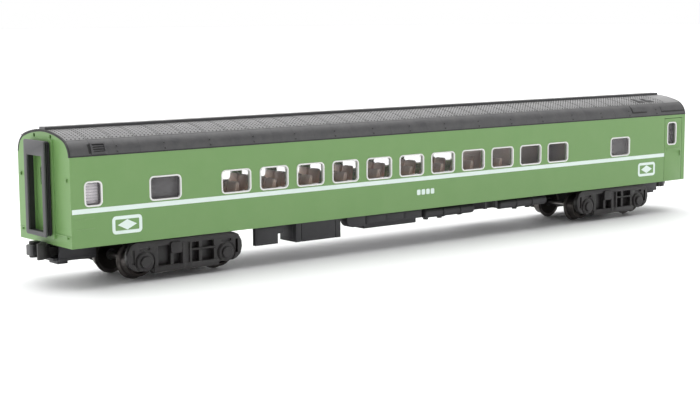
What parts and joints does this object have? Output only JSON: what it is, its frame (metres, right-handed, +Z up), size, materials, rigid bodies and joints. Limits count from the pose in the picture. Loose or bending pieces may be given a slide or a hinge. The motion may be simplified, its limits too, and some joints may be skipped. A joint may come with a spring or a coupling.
{
  "type": "model passenger coach",
  "caption": "Smooth-sided model railway passenger coach with arched roof, swivelling four-wheel trucks, knuckle couplers and gangway face plates.",
  "frame": {"origin": "on the centre line at the middle of the coach, at the lowest point of the wheel flanges", "axes": "+X along the coach towards the vestibule end, +Y across, +Z up"},
  "size_m": [0.168, 0.0196, 0.0276],
  "materials": {
    "green_paint": "satin light green paint on moulded plastic",
    "roof_grey": "dark grey moulded plastic, matt",
    "frame_white": "off-white printed frames",
    "clear_pane": "clear polished plastic",
    "dark_pane": "dark glossy plastic",
    "plate_grey": "mid grey moulded plastic",
    "bellows_black": "black moulded folds",
    "interior_tan": "tan moulded plastic",
    "seat_brown": "brown moulded plastic",
    "weight_steel": "plain steel strip",
    "underframe_black": "near-black moulded plastic, satin",
    "screw_steel": "plain steel",
    "spring_bronze": "bronze wire",
    "coupler_black": "black engineering plastic",
    "truck_black": "near-black moulded plastic, satin",
    "cup_brass": "plain brass",
    "axle_steel": "plain steel",
    "wheel_metal": "blackened metal with bright tread",
    "bush_plastic": "black plastic"
  },
  "bodies": {
    "root": {"body_shell": "green_paint", "side_doors": "green_paint", "end_doors": "green_paint", "roof": "roof_grey", "roof_ridge": "roof_grey", "roof_vents": "roof_grey", "window_frames": "frame_white", "door_window_frames": "frame_white", "side_glazing": "clear_pane", "door_panes": "clear_pane", "end_door_panes": "clear_pane", "blank_panes": "dark_pane", "face_plates": "plate_grey", "bellows": "bellows_black", "interior_tray": "interior_tan", "partitions": "interior_tan", "seats": "seat_brown", "ballast_weight": "weight_steel", "underframe": "underframe_black", "battery_boxes": "underframe_black", "cooling_units": "underframe_black", "regulator_cases": "underframe_black", "equipment_lockers": "underframe_black", "air_tanks": "underframe_black", "tank_straps": "underframe_black", "valve_gear": "underframe_black", "train_pipes": "underframe_black", "draft_boxes": "underframe_black", "draft_box_lids": "underframe_black", "kingpins": "screw_steel", "lid_screws": "screw_steel", "centring_springs": "spring_bronze"},
    "coupler_a": {"coupler_a": "coupler_black"},
    "coupler_b": {"coupler_b": "coupler_black"},
    "knuckle_a": {"knuckle_a": "coupler_black"},
    "knuckle_b": {"knuckle_b": "coupler_black"},
    "truck_a": {"truck_a_bolster": "truck_black", "truck_a_side_frames": "truck_black", "truck_a_springs": "truck_black", "truck_a_journal_covers": "truck_black", "truck_a_bearing_cups": "cup_brass"},
    "wheelset_a1": {"axle_a1": "axle_steel", "wheels_a1": "wheel_metal", "bush_a1": "bush_plastic"},
    "wheelset_a2": {"axle_a2": "axle_steel", "wheels_a2": "wheel_metal", "bush_a2": "bush_plastic"},
    "truck_b": {"truck_b_bolster": "truck_black", "truck_b_side_frames": "truck_black", "truck_b_springs": "truck_black", "truck_b_journal_covers": "truck_black", "truck_b_bearing_cups": "cup_brass"},
    "wheelset_b1": {"axle_b1": "axle_steel", "wheels_b1": "wheel_metal", "bush_b1": "bush_plastic"},
    "wheelset_b2": {"axle_b2": "axle_steel", "wheels_b2": "wheel_metal", "bush_b2": "bush_plastic"}
  },
  "joints": [
    {"name": "truck_a_swivel", "type": "hinge", "parent": "root", "child": "truck_a", "pos_m": [-0.0575, 0, 0.0067], "axis": [0, 0, 1], "range_deg": [-12, 12]},
    {"name": "wheelset_a1_spin", "type": "hinge", "parent": "truck_a", "child": "wheelset_a1", "pos_m": [-0.06607, 0, 0.00346], "axis": [0, 1, 0], "continuous": true},
    {"name": "wheelset_a2_spin", "type": "hinge", "parent": "truck_a", "child": "wheelset_a2", "pos_m": [-0.04893, 0, 0.00346], "axis": [0, 1, 0], "continuous": true},
    {"name": "truck_b_swivel", "type": "hinge", "parent": "root", "child": "truck_b", "pos_m": [0.0575, 0, 0.0067], "axis": [0, 0, 1], "range_deg": [-12, 12]},
    {"name": "wheelset_b1_spin", "type": "hinge", "parent": "truck_b", "child": "wheelset_b1", "pos_m": [0.04893, 0, 0.00346], "axis": [0, 1, 0], "continuous": true},
    {"name": "wheelset_b2_spin", "type": "hinge", "parent": "truck_b", "child": "wheelset_b2", "pos_m": [0.06607, 0, 0.00346], "axis": [0, 1, 0], "continuous": true},
    {"name": "coupler_a_swing", "type": "hinge", "parent": "root", "child": "coupler_a", "pos_m": [-0.076, 0, 0.006], "axis": [0, 0, 1], "range_deg": [-10, 10], "stiffness_Nm_per_rad": 0.0002},
    {"name": "knuckle_a_open", "type": "hinge", "parent": "coupler_a", "child": "knuckle_a", "pos_m": [-0.0827, 0.00135, 0.0064], "axis": [0, 0, -1], "range_deg": [0, 28], "stiffness_Nm_per_rad": 0.000002, "springref_deg": -11.46},
    {"name": "coupler_b_swing", "type": "hinge", "parent": "root", "child": "coupler_b", "pos_m": [0.076, 0, 0.006], "axis": [0, 0, 1], "range_deg": [-10, 10], "stiffness_Nm_per_rad": 0.0002},
    {"name": "knuckle_b_open", "type": "hinge", "parent": "coupler_b", "child": "knuckle_b", "pos_m": [0.0827, -0.00135, 0.0064], "axis": [0, 0, -1], "range_deg": [0, 28], "stiffness_Nm_per_rad": 0.000002, "springref_deg": -11.46}
  ]
}
